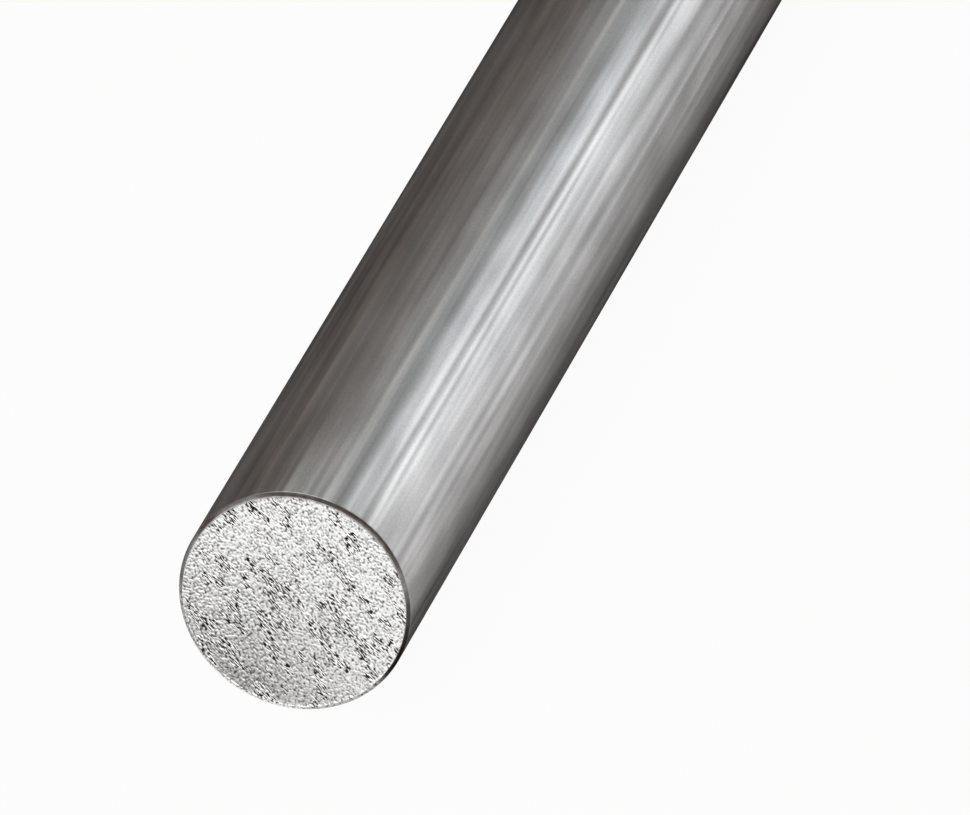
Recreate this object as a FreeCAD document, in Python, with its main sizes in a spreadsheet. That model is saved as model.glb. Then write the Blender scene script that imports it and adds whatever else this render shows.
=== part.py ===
"""Solid steel round rod: one length of bright drawn stock, cut square at both ends with the rims broken.

The rod lies along X on the plane Z = 0, and the origin is on that plane, below its middle.
"""

import FreeCAD, Part
import os

import Sketcher


OUTPUT_FOLDER = "parts"

# Driving dimensions, one row of the sheet each: alias, value, meaning
DIMENSIONS = (
    ("rod_diameter", 19.05, "mm, across the drawn surface: 3/4 in stock"),
    ("stock_length", 304.8, "mm, from cut face to cut face: a 12 in piece"),
    ("chamfer_length", 0.3, "mm, each rim chamfer measured along the rod"),
    ("chamfer_angle", 45, "degrees, from the drawn surface to the chamfer"),
)

# A sketch constraint names a point by its element's number and the point's own number on it
SKETCH_ORIGIN = (-1, 1)


def add_dimension_sheet(doc):
    """Spreadsheet of the driving dimensions; its aliases are what the features are bound to."""
    sheet = doc.addObject("Spreadsheet::Sheet", "dimensions")
    for row, (alias, value, meaning) in enumerate(DIMENSIONS, start=1):
        sheet.set(f"A{row}", alias)
        sheet.set(f"B{row}", str(value))
        sheet.set(f"C{row}", meaning)
        sheet.setAlias(f"B{row}", alias)
    doc.recompute()
    return sheet


def add_round_section(body, sheet):
    """Circle in the plane across the rod, centred half a diameter above the ground."""
    across_the_rod = next(plane for plane in body.Origin.OriginFeatures if plane.Role == "YZ_Plane")
    section = body.newObject("Sketcher::SketchObject", "round_section")
    section.AttachmentSupport = (across_the_rod, "")
    section.MapMode = "FlatFace"

    radius = sheet.rod_diameter / 2
    centre = FreeCAD.Vector(0, radius, 0)
    circle = section.addGeometry(Part.Circle(centre, FreeCAD.Vector(0, 0, 1), radius))
    circle_centre = (circle, 3)
    section.addConstraint(Sketcher.Constraint("Vertical", *SKETCH_ORIGIN, *circle_centre))
    diameter = section.addConstraint(Sketcher.Constraint("Diameter", circle, 2 * radius))
    height = section.addConstraint(
        Sketcher.Constraint("DistanceY", *SKETCH_ORIGIN, *circle_centre, radius)
    )
    section.setExpression(f"Constraints[{diameter}]", "dimensions.rod_diameter")
    section.setExpression(f"Constraints[{height}]", "dimensions.rod_diameter / 2")
    return section


def add_drawn_length(body, section):
    """The section run to the stock length, half of it on each side of the origin."""
    length = body.newObject("PartDesign::Pad", "drawn_length")
    length.Profile = section
    length.SideType = "Symmetric"
    length.setExpression("Length", "dimensions.stock_length")
    return length


def cut_face_rims(feature):
    """Names of the circular edges where the drawn surface meets the two cut faces."""
    return [
        f"Edge{number}"
        for number, edge in enumerate(feature.Shape.Edges, start=1)
        if isinstance(edge.Curve, Part.Circle)
    ]


def add_broken_rims(body, length):
    """The same narrow chamfer on both rims, as left by a quick pass of a file or a brush."""
    rims = body.newObject("PartDesign::Chamfer", "broken_rims")
    rims.Base = (length, cut_face_rims(length))
    rims.ChamferType = "Distance and Angle"
    rims.setExpression("Size", "dimensions.chamfer_length")
    rims.setExpression("Angle", "dimensions.chamfer_angle")
    return rims


def build_rod(doc, sheet):
    """The rod's one solid."""
    body = doc.addObject("PartDesign::Body", "steel_rod")
    body.Label = "steel_rod"
    section = add_round_section(body, sheet)
    length = add_drawn_length(body, section)
    doc.recompute()
    body.Tip = add_broken_rims(body, length)
    doc.recompute()
    return body


def check(doc, bodies):
    """Stops on a feature that failed, or on a piece that isn't one sound solid."""
    for feature in doc.Objects:
        if {"Invalid", "Error"} & set(feature.State):
            raise RuntimeError(f"{feature.Label} failed: {feature.State}")
    for body in bodies:
        shape = body.Shape
        if shape.isNull() or not shape.isValid() or len(shape.Solids) != 1:
            raise RuntimeError(f"{body.Label} is not one valid solid")


def write_steps(bodies):
    """One STEP file for each piece, named after it."""
    os.makedirs(OUTPUT_FOLDER, exist_ok=True)
    for body in bodies:
        body.Shape.exportStep(os.path.join(OUTPUT_FOLDER, f"{body.Label}.step"))
        box = body.Shape.BoundBox
        print(f"{body.Label}: {box.XLength:.2f} x {box.YLength:.2f} x {box.ZLength:.2f} mm,"
              f" {body.Shape.Volume:.1f} mm3, {len(body.Shape.Faces)} faces")


def main():
    doc = FreeCAD.newDocument("steel_rod_stock")
    sheet = add_dimension_sheet(doc)
    bodies = [build_rod(doc, sheet)]
    check(doc, bodies)
    write_steps(bodies)


main()
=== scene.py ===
import math
import random

import bmesh
import bpy
from mathutils import Matrix, Vector, noise


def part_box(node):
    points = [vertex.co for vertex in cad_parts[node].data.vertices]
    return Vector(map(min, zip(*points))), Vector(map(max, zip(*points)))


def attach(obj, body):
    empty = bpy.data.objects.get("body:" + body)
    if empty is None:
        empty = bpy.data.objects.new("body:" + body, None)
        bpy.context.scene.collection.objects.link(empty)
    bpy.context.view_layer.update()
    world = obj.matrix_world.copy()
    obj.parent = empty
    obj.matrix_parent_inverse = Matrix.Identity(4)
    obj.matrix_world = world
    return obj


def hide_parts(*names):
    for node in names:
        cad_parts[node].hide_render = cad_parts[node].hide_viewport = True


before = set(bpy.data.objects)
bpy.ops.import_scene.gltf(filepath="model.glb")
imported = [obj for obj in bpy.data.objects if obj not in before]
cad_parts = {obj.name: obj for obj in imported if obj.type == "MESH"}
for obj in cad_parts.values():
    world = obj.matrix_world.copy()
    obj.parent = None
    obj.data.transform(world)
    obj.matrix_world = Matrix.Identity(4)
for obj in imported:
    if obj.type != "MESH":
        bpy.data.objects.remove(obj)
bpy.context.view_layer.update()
mm = 0.001

rodLow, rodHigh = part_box("steel_rod")
halfLength = (rodHigh.x - rodLow.x) / 2
rodRadius = (rodHigh.y - rodLow.y) / 2
axisHeight = (rodHigh.z + rodLow.z) / 2
print(f"frame loaded: rod {2 * halfLength / mm:.1f} mm long, {2 * rodRadius / mm:.2f} mm across")


# Helpers

def linearColour(hexCode):
    # sRGB hex to the linear colour that a socket takes
    channels = [int(hexCode[i:i + 2], 16) / 255 for i in (1, 3, 5)]
    linear = [c / 12.92 if c <= 0.04045 else ((c + 0.055) / 1.055) ** 2.4 for c in channels]
    return (*linear, 1.0)


def addNode(tree, kind, settings=None, inputs=None):
    # A node with its settings and its sockets, each socket a value or another node's output
    node = tree.nodes.new(kind)
    for name, value in (settings or {}).items():
        setattr(node, name, value)
    for name, value in (inputs or {}).items():
        if isinstance(value, bpy.types.NodeSocket):
            tree.links.new(value, node.inputs[name])
        else:
            node.inputs[name].default_value = value
    return node


def newMaterial(name):
    material = bpy.data.materials.new(name)
    material.use_nodes = True
    material.node_tree.nodes.clear()
    return material, material.node_tree


def addRamp(tree, value, stops):
    # A colour ramp through the stops, each its place and its colour in sRGB hex
    ramp = addNode(tree, "ShaderNodeValToRGB", inputs={"Fac": value})
    elements = ramp.color_ramp.elements
    for element, (place, hexCode) in zip(elements, (stops[0], stops[-1])):
        element.position = place
        element.color = linearColour(hexCode)
    for place, hexCode in stops[1:-1]:
        elements.new(place).color = linearColour(hexCode)
    return ramp.outputs["Color"]


def stretchedNoise(tree, coords, cell, turn=0, shift=(0, 0, 0)):
    # Noise with cells of that size along X, Y and Z, turned about X and moved by the shift
    stretched = addNode(tree, "ShaderNodeMapping", {"vector_type": "TEXTURE"}, {
        "Vector": coords, "Location": shift, "Rotation": (turn, 0, 0), "Scale": cell})
    return addNode(tree, "ShaderNodeTexNoise", inputs={
        "Vector": stretched.outputs["Vector"], "Scale": 1.0, "Detail": 0.0}).outputs["Fac"]


def addObject(name, data):
    added = bpy.data.objects.new(name, data)
    bpy.context.collection.objects.link(added)
    return added


def addMesh(name, bm):
    # An object with the bmesh's shape, and the bmesh is let go
    mesh = bpy.data.meshes.new(name)
    bm.to_mesh(mesh)
    bm.free()
    return addObject(name, mesh)


# The rod's mesh

rod = {
    "faceCells": 188,            # grid cells across a cut face, about 0.1 mm each
    "rimChamfer": 0.3 * mm,
    "cornerRound": 0.12 * mm,    # radius of the chamfer's two corners, worn soft
    "roundSteps": 3,             # strips round each of those corners
    "barrelStrips": 10,          # from a rim to the middle of the length
    "drawLineDepth": 0.004 * mm,
    "drawLineWidth": 0.55 * mm,
    "drawLineLength": 60 * mm,
    "drawLineMean": 0.5,         # the lines' mean depth, as a share of drawLineDepth
    "tolerance": 0.001 * mm,     # points this near to a surface belong to it
}

# Single lines that the die left: degrees round the rod from its top towards -Y, width in mm,
# and how much lighter (+) or darker (-) the metal is there, at each rim and from lineChange on
lineChange = 90 * mm
lineFalloff = 2.77               # leaves half of a line's tone at either side of its width
lineReach = 2                    # widths from its middle, beyond which a line has no tone
dieLines = [
    (-43.5, 1.1, 0.055, 0.055),
    (-18.5, 0.5, 0.06, 0.06),
    (3.5, 0.4, -0.04, -0.04),
    (15.5, 0.55, 0.14, 0.12),
    (21.2, 0.7, -0.15, -0.10),
    (26.5, 0.45, 0.05, 0.05),
    (28.0, 1.0, 0.065, -0.02),
    (33.0, 0.38, 0.14, 0.10),
    (36.5, 0.42, -0.16, -0.12),
    (39.5, 0.35, 0.12, 0.10),
    (41.3, 0.28, -0.09, -0.03),
    (43.5, 0.32, 0.11, 0.04),
    (47.3, 0.45, 0.05, 0.06),
    (52.0, 0.5, 0.03, -0.09),
    (57.0, 1.3, 0.06, 0.06),
    (58.8, 0.4, 0.08, 0.03),
    (62.0, 0.35, -0.07, -0.07),
    (65.5, 0.4, 0.06, 0.05),
    (66.5, 2.4, 0.07, -0.06),
    (68.0, 0.3, -0.04, -0.04),
    (82.5, 0.55, 0.04, 0.04),
]

# The same kind of lines on the sides that the photograph doesn't show, drawn by chance
hiddenLines = {
    "seed": 12,
    "count": 46,
    "from": 95,                  # degrees, as above, and on through the underside to `to`
    "to": 310,
    "width": (0.3, 1.0),
    "tone": 0.09,
}

cutGrain = {
    "level": 0.040 * mm,         # mean depth below the CAD plane
    "angle": math.radians(45),   # the grains are drawn out along the cut, which climbs towards +Y
    "grainWidth": 0.18 * mm,
    "grainLength": 0.24 * mm,
    "grainDepth": 0.030 * mm,
    "patchAngle": math.radians(62),
    "patchWidth": 0.8 * mm,      # faint patches that lie a little deeper
    "patchLength": 1.9 * mm,
    "patchDepth": 0.012 * mm,
    "waveWidth": 2.4 * mm,       # slow unevenness left by the wheel
    "waveDepth": 0.004 * mm,
    "rimFade": 0.15 * mm,        # distance from the rim in which the depth would grow by its whole
    "rimShare": 0.3,             # share of the depth that is there at the rim already
    "endShift": 7.3,             # moves the noise, so that the two ends differ
    "patchOffset": 9,            # these two keep the patches and waves apart from the grain
    "waveOffset": 3,
}


def pressToDisc(u, v):
    # Squares of the grid become rings of the disc, with equal areas
    if u == 0 and v == 0:
        return 0.0, 0.0
    if abs(u) >= abs(v):
        radius, angle = u, math.pi / 4 * v / u
    else:
        radius, angle = v, math.pi / 2 - math.pi / 4 * u / v
    return radius * math.cos(angle), radius * math.sin(angle)


def rimProfile():
    # (place along the rod, radius, material) of each ring after the cut face's edge
    chamfer, radius, steps = rod["rimChamfer"], rod["cornerRound"], rod["roundSteps"]
    setback = radius * math.tan(math.pi / 8)
    turns = [math.pi / 4 * n / steps for n in range(1, steps + 1)]
    inner = [(-halfLength + radius * (1 - math.cos(turn)),
              rodRadius - chamfer - setback + radius * math.sin(turn), 2) for turn in turns]
    outer = [(-halfLength + chamfer + setback - radius * math.cos(math.pi / 4 + turn),
              rodRadius - radius + radius * math.sin(math.pi / 4 + turn), 0) for turn in turns]
    edge = (-halfLength + chamfer + setback - radius * math.cos(math.pi / 4),
            rodRadius - radius + radius * math.sin(math.pi / 4), 2)
    return inner + [edge] + outer


def turned(y, z, angle):
    # Distances along and across a line that climbs towards +Y at that angle
    return y * math.cos(angle) + z * math.sin(angle), z * math.cos(angle) - y * math.sin(angle)


def cutDepth(y, z, side):
    # Depth of the cut face below the CAD plane: grains all over, a little deeper in faint patches
    g = cutGrain
    shift = g["endShift"] * side
    along, across = turned(y, z, g["angle"])
    grain = noise.noise(Vector((along / g["grainLength"], across / g["grainWidth"], shift)))
    along, across = turned(y, z, g["patchAngle"])
    patch = noise.noise(Vector((along / g["patchLength"], across / g["patchWidth"],
                                shift + g["patchOffset"])))
    wave = noise.noise(Vector((y, z, 0)) / g["waveWidth"] + Vector((0, 0, shift + g["waveOffset"])))
    return max(0.0, g["level"] + g["grainDepth"] * grain + g["waveDepth"] * wave
               + g["patchDepth"] * patch)


def drawDepth(x, y, z):
    # Depth of the draw lines: long, shallow and running with the rod
    lines = noise.noise(Vector((x / rod["drawLineLength"], y / rod["drawLineWidth"],
                                z / rod["drawLineWidth"])))
    return rod["drawLineDepth"] * max(0.0, rod["drawLineMean"] + lines)


def allDieLines():
    # The lines that the photograph shows, and those of the hidden sides
    chance = random.Random(hiddenLines["seed"])
    lines = list(dieLines)
    for _ in range(hiddenLines["count"]):
        turn = chance.uniform(hiddenLines["from"], hiddenLines["to"])
        near, far = (chance.uniform(-hiddenLines["tone"], hiddenLines["tone"]) for _ in range(2))
        lines.append((turn, chance.uniform(*hiddenLines["width"]), near, far))
    return lines


def drawTone(x, y, z, lines):
    # How much lighter or darker the die's lines make the metal at a point of the drawn surface
    turn = math.degrees(math.atan2(-y, z))
    far = min(1.0, (halfLength - abs(x)) / lineChange)
    tone = 0.0
    for at, width, nearTone, farTone in lines:
        gap = math.radians((turn - at + 180) % 360 - 180) * rodRadius / (width * mm)
        if abs(gap) < lineReach:
            tone += (nearTone * (1 - far) + farTone * far) * math.exp(-lineFalloff * gap * gap)
    return tone


def buildRod():
    bm = bmesh.new()
    depthLayer = bm.verts.layers.float.new("cutDepth")
    toneLayer = bm.verts.layers.float.new("drawTone")

    # One cut face, pressed round, then its rim drawn out along the rod to the middle
    bmesh.ops.create_grid(bm, x_segments=rod["faceCells"], y_segments=rod["faceCells"], size=1)
    faceRadius = rodRadius - rod["rimChamfer"] - rod["cornerRound"] * math.tan(math.pi / 8)
    for vert in bm.verts:
        y, z = pressToDisc(vert.co.x, vert.co.y)
        vert.co = Vector((-halfLength, y * faceRadius, z * faceRadius))
    for face in bm.faces:
        face.material_index = 1

    strip = halfLength / rod["barrelStrips"]
    rings = rimProfile()
    rings += [(-halfLength + strip * n, rodRadius, 0) for n in range(1, rod["barrelStrips"] + 1)]
    rim = [edge for edge in bm.edges if edge.is_boundary]
    for x, radius, slotNumber in rings:
        grown = bmesh.ops.extrude_edge_only(bm, edges=rim)["geom"]
        for part in grown:
            if isinstance(part, bmesh.types.BMVert):
                outward = Vector((0, part.co.y, part.co.z)).normalized() * radius
                part.co = Vector((x, outward.y, outward.z))
            elif isinstance(part, bmesh.types.BMFace):
                part.material_index = slotNumber
        rim = [part for part in grown if isinstance(part, bmesh.types.BMEdge) and part.is_boundary]

    bmesh.ops.mirror(bm, geom=bm.verts[:] + bm.edges[:] + bm.faces[:],
                     matrix=Matrix.Identity(4), merge_dist=rod["tolerance"], axis="X")
    bmesh.ops.recalc_face_normals(bm, faces=bm.faces[:])

    # Relief is cut inwards from the CAD surfaces
    lines = allDieLines()
    for vert in bm.verts:
        x, y, z = vert.co
        radius = math.hypot(y, z)
        vert[toneLayer] = drawTone(x, y, z, lines) if radius > faceRadius else 0.0
        side = 1 if x > 0 else -1
        if abs(abs(x) - halfLength) < rod["tolerance"] and radius < faceRadius + rod["tolerance"]:
            fade = min(1.0, (faceRadius - radius) / cutGrain["rimFade"] + cutGrain["rimShare"])
            depth = cutDepth(y, z, side) * fade
            vert.co.x -= side * depth
            vert[depthLayer] = depth / mm
        elif radius > rodRadius - rod["tolerance"]:
            shrink = 1 - drawDepth(x, y, z) / radius
            vert.co.y, vert.co.z = y * shrink, z * shrink

    bmesh.ops.translate(bm, verts=bm.verts[:], vec=(0, 0, axisHeight))
    for face in bm.faces:
        face.smooth = True
    return addMesh("drawnSteelRod", bm)


# The rod's finishes

drawnFinish = {
    "dark": "#a5a5a4",           # where the lines and streaks are deepest
    "mid": "#cccdce",
    "light": "#f4f4f4",
    "toneRange": 0.2,            # the tone, up or down, that gives the dark and light colours
    "edgeTint": "#786c64",
    "roughness": 0.38,
    "roughnessSwing": 0.03,      # how much rougher and smoother the broad streaks make it
    "swingRange": (0.3, 0.7),    # the broad streaks' noise where it is roughest, and smoothest
    "bump": 0.003 * mm,
    "anisotropy": 0.6,           # gloss spreads across the draw lines, not along them
    "streakShift": 3,            # moves each streak's noise towards +Y, in its widths
    # Streaks: width and length in mm, and how strongly each shows
    "streaks": [(0.5, 22, 0.17), (0.95, 30, 0.18), (1.7, 45, 0.10), (1.5, 8, 0.14), (0.09, 0.3, 0.12),
                (0.27, 40, 0.10)],
}

cutFinish = {
    # Colours from dark to bright: painted shade in the deepest relief and the torn scores, the cut's
    # floor, and painted glints on the highest grains
    "paintedPitShade": "#262625",
    "floor": "#cececd",
    "grain": "#ffffff",
    "floorAt": 0.42,             # the tone, 0 bright and 1 dark, that has the floor's colour
    "highest": 0.0,              # mm below the plane: bright here and above
    "deepest": 0.29,             # mm below the plane: dark from here, which is below all relief
    "speckWidth": 0.17 * mm,     # crystals too fine for the mesh
    "speckLength": 0.23 * mm,
    "speckTone": 2.45,
    # The torn scores are darkened with painted shade
    "tearWidth": 0.09 * mm,      # torn scores, dark and slender, in patches
    "tearLength": 0.48 * mm,
    "tearPaintedShade": 6.4,
    "tearStart": 0.47,           # the scores' noise above which they are dark
    "tearShift": (0, 0, 17 * mm),
    "tearShare": (0.545, 0.63),  # the patches' noise where tears begin, and where they are full
    # The scores' patches are as large as the relief's, and most are below and right, as seen
    "patchShift": (0, -35 * mm, 10 * mm),
    "bump": 0.017 * mm,
    "roughness": 0.36,
}

rimFinish = {
    # Colours, each with the noise that gives it: of the filed part, painted darker as painted shade, and
    # of the lower part, painted lighter with the cut's specks as a painted reflection of the white floor
    # which the file left as the cut had torn it
    "filedPaintedShade": [(0.35, "#858482"), (0.7, "#a3a2a0")],
    "torn": [(0.3, "#6f6e6c"), (0.5, "#f0f0ef")],
    "markSize": 0.6 * mm,
    "markDetail": 3.0,
    "speckSize": 0.2 * mm,
    "paintedLightFrom": 7.2 * mm,        # height above the floor where the lower part begins
    "paintedLightTo": 5.6 * mm,          # and where it is full
    "climb": 0.36,               # both heights climb by this for each mm towards +Y
    "roughness": 0.28,
}


def brightDrawnSteel():
    # Low-carbon steel pulled through a die: bright and satin, with long lines that never cross
    material, tree = newMaterial("brightDrawnSteel")
    coords = addNode(tree, "ShaderNodeTexCoord").outputs["Object"]

    # Streaks are noise drawn out along the rod, added to the tone of the die's single lines
    tone = addNode(tree, "ShaderNodeAttribute", {"attribute_name": "drawTone"}).outputs["Fac"]
    balance = 0
    layers = []
    for width, length, strength in drawnFinish["streaks"]:
        layer = stretchedNoise(tree, coords, (length * mm, width * mm, width * mm),
                               shift=(0, width * mm * drawnFinish["streakShift"], 0))
        tone = addNode(tree, "ShaderNodeMath", {"operation": "MULTIPLY_ADD"},
                       {0: layer, 1: strength, 2: tone}).outputs[0]
        balance += strength / 2
        layers.append(layer)
    spread = drawnFinish["toneRange"]
    shade = addNode(tree, "ShaderNodeMapRange", inputs={
        "Value": tone, "From Min": balance - spread, "From Max": balance + spread})
    colour = addRamp(tree, shade.outputs["Result"], [
        (0, drawnFinish["dark"]), (0.5, drawnFinish["mid"]), (1, drawnFinish["light"])])

    # The third layer, of broad streaks, changes the roughness, and the first gives the bump
    roughness, swing = drawnFinish["roughness"], drawnFinish["roughnessSwing"]
    roughest, smoothest = drawnFinish["swingRange"]
    gloss = addNode(tree, "ShaderNodeMapRange", inputs={
        "Value": layers[2], "From Min": roughest, "From Max": smoothest,
        "To Min": roughness + swing, "To Max": roughness - swing})
    bump = addNode(tree, "ShaderNodeBump", inputs={
        "Height": layers[0], "Strength": 1.0, "Distance": drawnFinish["bump"]})
    around = addNode(tree, "ShaderNodeTangent", {"direction_type": "RADIAL", "axis": "X"})
    shader = addNode(tree, "ShaderNodeBsdfPrincipled", inputs={
        "Base Color": colour, "Metallic": 1.0,
        "Roughness": gloss.outputs["Result"], "Normal": bump.outputs["Normal"],
        "Anisotropic": drawnFinish["anisotropy"], "Tangent": around.outputs["Tangent"],
        "Specular Tint": linearColour(drawnFinish["edgeTint"])})
    addNode(tree, "ShaderNodeOutputMaterial", inputs={"Surface": shader.outputs["BSDF"]})
    return material


def abrasiveCutSteel():
    # The same steel where a coarse wheel cut it, with torn grains: its colour holds painted glints on
    # the highest grains and painted shade in the pits and scores
    material, tree = newMaterial("abrasiveCutSteel")
    f, g = cutFinish, cutGrain
    coords = addNode(tree, "ShaderNodeTexCoord").outputs["Object"]
    speck = stretchedNoise(tree, coords, (f["speckWidth"], f["speckLength"], f["speckWidth"]),
                           g["angle"])
    tear = stretchedNoise(tree, coords, (f["tearWidth"], f["tearLength"], f["tearWidth"]),
                          g["angle"], f["tearShift"])
    patch = stretchedNoise(tree, coords, (g["patchWidth"], g["patchLength"], g["patchWidth"]),
                           g["patchAngle"], f["patchShift"])

    torn = addNode(tree, "ShaderNodeMapRange", inputs={
        "Value": patch, "From Min": f["tearShare"][0], "From Max": f["tearShare"][1]})
    tornTone = addNode(tree, "ShaderNodeMapRange", {"clamp": False}, {
        "Value": tear, "From Min": f["tearStart"], "From Max": f["tearStart"] + 1,
        "To Max": f["tearPaintedShade"]})
    tears = addNode(tree, "ShaderNodeMath", {"operation": "MULTIPLY"},
                    {0: torn.outputs["Result"], 1: tornTone.outputs["Result"]})
    fine = addNode(tree, "ShaderNodeMath", {"operation": "MULTIPLY_ADD"},
                   {0: speck, 1: f["speckTone"], 2: tears.outputs[0]}).outputs[0]

    # The relief's depth and the fine marks together give the tone, 0 bright and 1 dark: painted shade
    # that grows with depth, and painted glints where the relief is highest
    depth = addNode(tree, "ShaderNodeAttribute", {"attribute_name": "cutDepth"}).outputs["Fac"]
    paintedDepthShade = addNode(tree, "ShaderNodeMapRange", {"clamp": False}, {
        "Value": depth, "From Min": f["highest"], "From Max": f["deepest"],
        "To Min": -f["speckTone"] / 2, "To Max": 1 - f["speckTone"] / 2})
    tone = addNode(tree, "ShaderNodeMath", {"operation": "ADD"},
                   {0: fine, 1: paintedDepthShade.outputs["Result"]})
    colour = addRamp(tree, tone.outputs[0], [
        (0, f["grain"]), (f["floorAt"], f["floor"]), (1, f["paintedPitShade"])])
    bump = addNode(tree, "ShaderNodeBump", {"invert": True}, {
        "Height": fine, "Strength": 1.0, "Distance": f["bump"]})
    shader = addNode(tree, "ShaderNodeBsdfPrincipled", inputs={
        "Base Color": colour, "Metallic": 1.0,
        "Roughness": f["roughness"], "Normal": bump.outputs["Normal"]})
    addNode(tree, "ShaderNodeOutputMaterial", inputs={"Surface": shader.outputs["BSDF"]})
    return material


def filedRimSteel():
    # The narrow chamfer where a file broke the edge: painted darker than the faces that it joins, as
    # painted shade for the dark surroundings that it mirrors
    material, tree = newMaterial("filedRimSteel")
    coords = addNode(tree, "ShaderNodeTexCoord").outputs["Object"]
    marks = addNode(tree, "ShaderNodeTexNoise", inputs={
        "Vector": coords, "Scale": 1 / rimFinish["markSize"], "Detail": rimFinish["markDetail"]})
    filedPaintedShade = addRamp(tree, marks.outputs["Fac"], rimFinish["filedPaintedShade"])

    # The lower part is painted lighter, with the cut's specks: a painted reflection of the white floor
    # below
    specks = addNode(tree, "ShaderNodeTexNoise", inputs={
        "Vector": coords, "Scale": 1 / rimFinish["speckSize"], "Detail": 0.0})
    torn = addRamp(tree, specks.outputs["Fac"], rimFinish["torn"])
    height = addNode(tree, "ShaderNodeVectorMath", {"operation": "DOT_PRODUCT"},
                     {0: coords, 1: (0, -rimFinish["climb"], 1)}).outputs["Value"]
    paintedLightBelow = addNode(tree, "ShaderNodeMapRange", inputs={
        "Value": height, "From Min": rimFinish["paintedLightFrom"], "From Max": rimFinish["paintedLightTo"]})
    colour = addNode(tree, "ShaderNodeMixRGB", inputs={
        "Fac": paintedLightBelow.outputs["Result"], "Color1": filedPaintedShade, "Color2": torn})
    shader = addNode(tree, "ShaderNodeBsdfPrincipled", inputs={
        "Base Color": colour.outputs["Color"], "Metallic": 1.0,
        "Roughness": rimFinish["roughness"]})
    addNode(tree, "ShaderNodeOutputMaterial", inputs={"Surface": shader.outputs["BSDF"]})
    return material


drawnSteelRod = buildRod()
for finish in (brightDrawnSteel(), abrasiveCutSteel(), filedRimSteel()):
    drawnSteelRod.data.materials.append(finish)
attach(drawnSteelRod, "root")
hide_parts("steel_rod")
print(f"rod built: {2 * len(drawnSteelRod.data.polygons)} triangles")


# The camera, solved from the photograph's 970 x 815 pixels

photo = {
    "width": 970,
    "height": 815,
    "nearFaceCentre": (294.0, 602.2),   # pixels, from the left and from the top
    "focalLength": 24000,               # pixels: a long lens, as the edges hardly converge
    "sensorWidth": 36,                  # mm
    "clip": (0.05, 40),                 # metres
    "distance": 1.907,                  # metres to the near cut face
    "lookDown": math.radians(25.1),
    "lookLeft": math.radians(13.95),    # turned from +X towards +Y
}


def photoAxes():
    # Forward, right and up of a level camera that looks as the photograph does
    level = Vector((math.cos(photo["lookLeft"]), math.sin(photo["lookLeft"]), 0))
    forward = level * math.cos(photo["lookDown"]) - Vector((0, 0, math.sin(photo["lookDown"])))
    right = level.cross(Vector((0, 0, 1)))
    return forward, right, right.cross(forward)


def addCamera():
    data = bpy.data.cameras.new("photoCamera")
    data.sensor_width = photo["sensorWidth"]
    data.lens = data.sensor_width * photo["focalLength"] / photo["width"]
    data.clip_start, data.clip_end = photo["clip"]
    camera = addObject("photoCamera", data)
    bpy.context.scene.camera = camera

    forward, right, up = photoAxes()
    pixelSize = photo["distance"] / photo["focalLength"]
    pixelX, pixelY = photo["nearFaceCentre"]
    sideways = (pixelX - photo["width"] / 2) * pixelSize
    upwards = (photo["height"] / 2 - pixelY) * pixelSize
    nearFace = Vector((-halfLength, 0, axisHeight))
    camera.location = nearFace - forward * photo["distance"] - right * sideways - up * upwards
    camera.rotation_euler = forward.to_track_quat("-Z", "Y").to_euler()


addCamera()


# The studio

studio = {
    "floorSize": 30.0,
    "floorColour": "#fbfbfb",
    "floorGlow": 0.95,           # how much of the floor that the camera and the metal see is plain white
    "horizon": "#ffffff",
    "overhead": "#563f38",
    "horizonEnds": 0.02,         # sine of the angle above the floor where its white ends
    "overheadBegins": 0.06,      # and where the colour overhead begins
}

# Dark cards that lie on the floor: painted shade, which stands in for the rod's contact shadow that the
# white floor doesn't show. Only the metal sees them, in its reflections. Each has its sides in mm, x
# from the rod's near end and y from its middle, how dark it is, and how far it fades inwards from its
# near, far, right and left sides
paintedShadeCards = {
    "leftPaintedShade": {"x": (-15, 900), "y": (9, 600), "darkness": 1.0, "fades": (40, 200, 4, 200)},
    "rightPaintedShade": {"x": (-5, 320), "y": (-28, 0), "darkness": 1.0, "fades": (14, 15, 15, 1)},
    "sidePaintedShade": {"x": (-34, 8), "y": (-80, -13), "darkness": 0.8, "fades": (12, 3, 40, 5)},
    "frontPaintedShade": {"x": (-34, 0), "y": (-9, 50), "darkness": 0.85, "fades": (34, 1, 14, 12)},
    "rimPaintedShade": {"x": (-9, 7), "y": (-24, -6.5), "darkness": 0.97, "fades": (4, 3, 8, 3)},
}
paintedShadeColour = "#301d15"
cardLift = 0.01 * mm             # from the floor to the first card, and from each to the next

# A fan of soft lamps behind the rod, each where a line of the drawn surface mirrors it to the
# camera: degrees round the rod from the middle of that surface, how bright it looks where
# white paper is 1, and its colour
fan = {
    "distance": 3.0,
    "size": 0.56,
    "lamps": [
        (-20, 0.35, "#e8f6fb"),
        (0, 1.4, "#e6f4fb"),
        (20, 3.15, "#f6fcfd"),
        (40, 1.3, "#f9fdff"),
        (60, 1.95, "#f1f8ff"),
    ],
}

# The other lamps: where each stands from the rod's near end, in metres, its size and brightness
lamps = {
    "softOverhead": {"at": (0.95, 0.3, 2.8), "size": (2.4, 4.5), "brightness": 1.0, "colour": "#f6fffa"},
    "frontFill": {"at": (-1.85, 0.2, 0.78), "size": (5.6, 1.7), "brightness": 1.75, "colour": "#ffffff"},
    "rimLight": {"at": (-0.8, 2.3, 1.7), "size": (1.7, 1.7), "brightness": 0.5, "colour": "#ffffff"},
}


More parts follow.
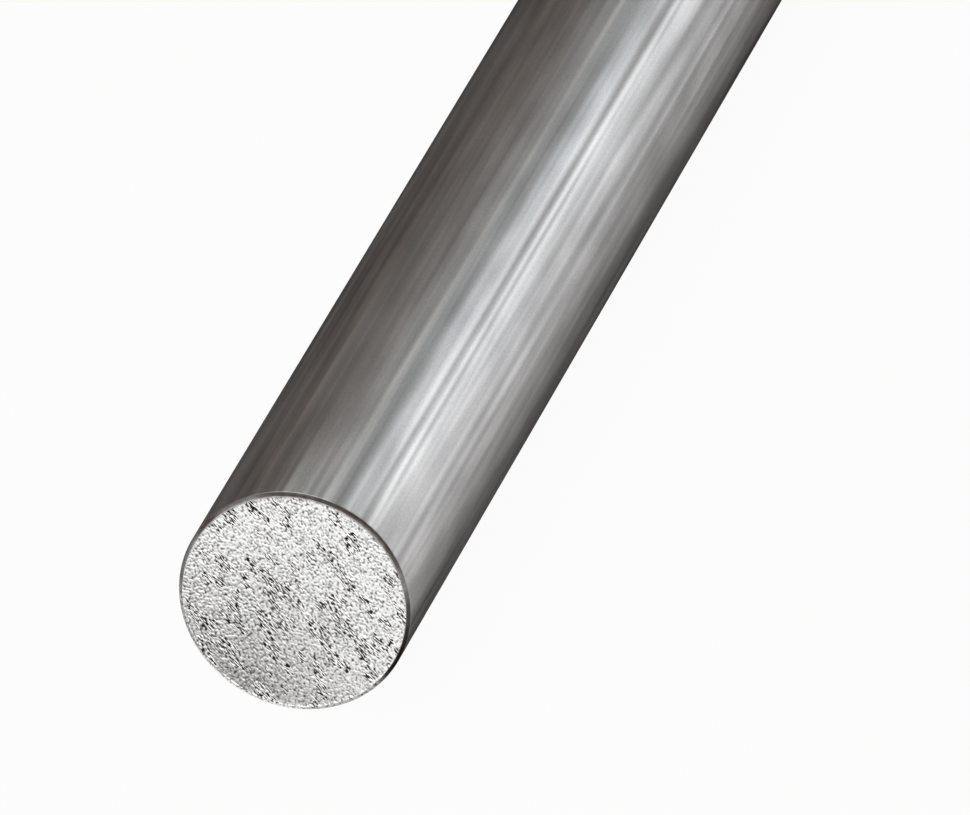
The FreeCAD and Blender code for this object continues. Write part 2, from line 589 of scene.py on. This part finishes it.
def buildFloor():
    bm = bmesh.new()
    bmesh.ops.create_grid(bm, x_segments=2, y_segments=2, size=studio["floorSize"] / 2)
    floor = addMesh("paleFloor", bm)
    material, tree = newMaterial("mattWhiteSweep")
    matt = addNode(tree, "ShaderNodeBsdfDiffuse",
                   inputs={"Color": linearColour(studio["floorColour"])})
    white = addNode(tree, "ShaderNodeEmission", inputs={"Color": linearColour("#ffffff")})
    ray = addNode(tree, "ShaderNodeLightPath").outputs
    direct = addNode(tree, "ShaderNodeMath", {"operation": "MAXIMUM"},
                     {0: ray["Is Camera Ray"], 1: ray["Is Glossy Ray"]})
    seen = addNode(tree, "ShaderNodeMath", {"operation": "MAXIMUM"},
                   {0: direct.outputs[0], 1: ray["Is Transmission Ray"]})
    share = addNode(tree, "ShaderNodeMath", {"operation": "MULTIPLY"},
                    {0: seen.outputs[0], 1: studio["floorGlow"]})
    mixed = addNode(tree, "ShaderNodeMixShader", inputs={
        "Fac": share.outputs[0], 1: matt.outputs["BSDF"], 2: white.outputs["Emission"]})
    addNode(tree, "ShaderNodeOutputMaterial", inputs={"Surface": mixed.outputs["Shader"]})
    floor.data.materials.append(material)


def paintedShadePaper(name, box, card):
    # Painted shade: dark paper that fades out towards its four sides
    material, tree = newMaterial(name)
    coords = addNode(tree, "ShaderNodeTexCoord").outputs["Object"]
    place = addNode(tree, "ShaderNodeSeparateXYZ", inputs={"Vector": coords}).outputs
    (nearX, farX), (rightY, leftY) = box
    near, far, right, left = (fade * mm for fade in card["fades"])
    shown = card["darkness"]
    for axis, start, end in (("X", nearX, nearX + near), ("X", farX, farX - far),
                             ("Y", rightY, rightY + right), ("Y", leftY, leftY - left)):
        side = addNode(tree, "ShaderNodeMapRange", inputs={
            "Value": place[axis], "From Min": start, "From Max": end})
        shown = addNode(tree, "ShaderNodeMath", {"operation": "MULTIPLY"},
                        {0: side.outputs["Result"], 1: shown}).outputs[0]
    clear = addNode(tree, "ShaderNodeBsdfTransparent")
    dark = addNode(tree, "ShaderNodeBsdfDiffuse", inputs={"Color": linearColour(paintedShadeColour)})
    mixed = addNode(tree, "ShaderNodeMixShader", inputs={
        "Fac": shown, 1: clear.outputs["BSDF"], 2: dark.outputs["BSDF"]})
    addNode(tree, "ShaderNodeOutputMaterial", inputs={"Surface": mixed.outputs["Shader"]})
    return material


def buildPaintedShadeCards():
    for number, (name, card) in enumerate(paintedShadeCards.items(), start=1):
        box = [[x * mm - halfLength for x in card["x"]], [y * mm for y in card["y"]]]
        bm = bmesh.new()
        bmesh.ops.create_grid(bm, x_segments=1, y_segments=1, size=0.5)
        bmesh.ops.scale(bm, verts=bm.verts[:], vec=(box[0][1] - box[0][0], box[1][1] - box[1][0], 1))
        bmesh.ops.translate(bm, verts=bm.verts[:],
                            vec=(sum(box[0]) / 2, sum(box[1]) / 2, cardLift * number))
        piece = addMesh(name, bm)
        piece.data.materials.append(paintedShadePaper(name, box, card))
        # The camera doesn't see this painted shade, it gives no diffuse light and casts no shadow, so
        # only reflections show it
        piece.visible_camera = False
        piece.visible_diffuse = False
        piece.visible_shadow = False


def buildWorld():
    # White at the horizon, dark brown above, which the drawn surface shows as its darker side
    world = bpy.data.worlds.new("studioRoom")
    bpy.context.scene.world = world
    world.use_nodes = True
    tree = world.node_tree
    tree.nodes.clear()
    direction = addNode(tree, "ShaderNodeTexCoord").outputs["Generated"]
    height = addNode(tree, "ShaderNodeSeparateXYZ", inputs={"Vector": direction}).outputs["Z"]
    colour = addRamp(tree, height, [
        (studio["horizonEnds"], studio["horizon"]), (studio["overheadBegins"], studio["overhead"])])
    light = addNode(tree, "ShaderNodeBackground", inputs={"Color": colour})
    addNode(tree, "ShaderNodeOutputWorld", inputs={"Surface": light.outputs["Background"]})


def addLamp(name, offset, size, brightness, colour):
    target = Vector((-halfLength, 0, axisHeight))
    data = bpy.data.lights.new(name, "AREA")
    data.shape = "RECTANGLE"
    data.size, data.size_y = size
    data.energy = brightness * math.pi * data.size * data.size_y
    data.color = linearColour(colour)[:3]
    light = addObject(name, data)
    light.location = target + offset
    light.rotation_euler = offset.to_track_quat("Z", "Y").to_euler()
    light.visible_camera = False


def addLamps():
    forward = photoAxes()[0]
    alongRod = Vector((1, 0, 0))
    toCamera = (-forward - alongRod * -forward.x).normalized()   # across the rod, to the camera
    toSide = alongRod.cross(toCamera)
    spread = math.sqrt(1 - forward.x ** 2)
    for turn, brightness, colour in fan["lamps"]:
        angle = math.radians(turn)
        away = alongRod * forward.x + spread * (toCamera * math.cos(angle) + toSide * math.sin(angle))
        addLamp(f"fan{turn}", away * fan["distance"], (fan["size"], fan["size"]), brightness, colour)
    for name, lamp in lamps.items():
        addLamp(name, Vector(lamp["at"]), lamp["size"], lamp["brightness"], lamp["colour"])
    bpy.data.objects["rimLight"].visible_diffuse = False   # for the metal alone, so it casts no shadow


buildFloor()
buildPaintedShadeCards()
buildWorld()
addLamps()
print("studio built")


settings = bpy.context.scene.view_settings
settings.view_transform = "Standard"
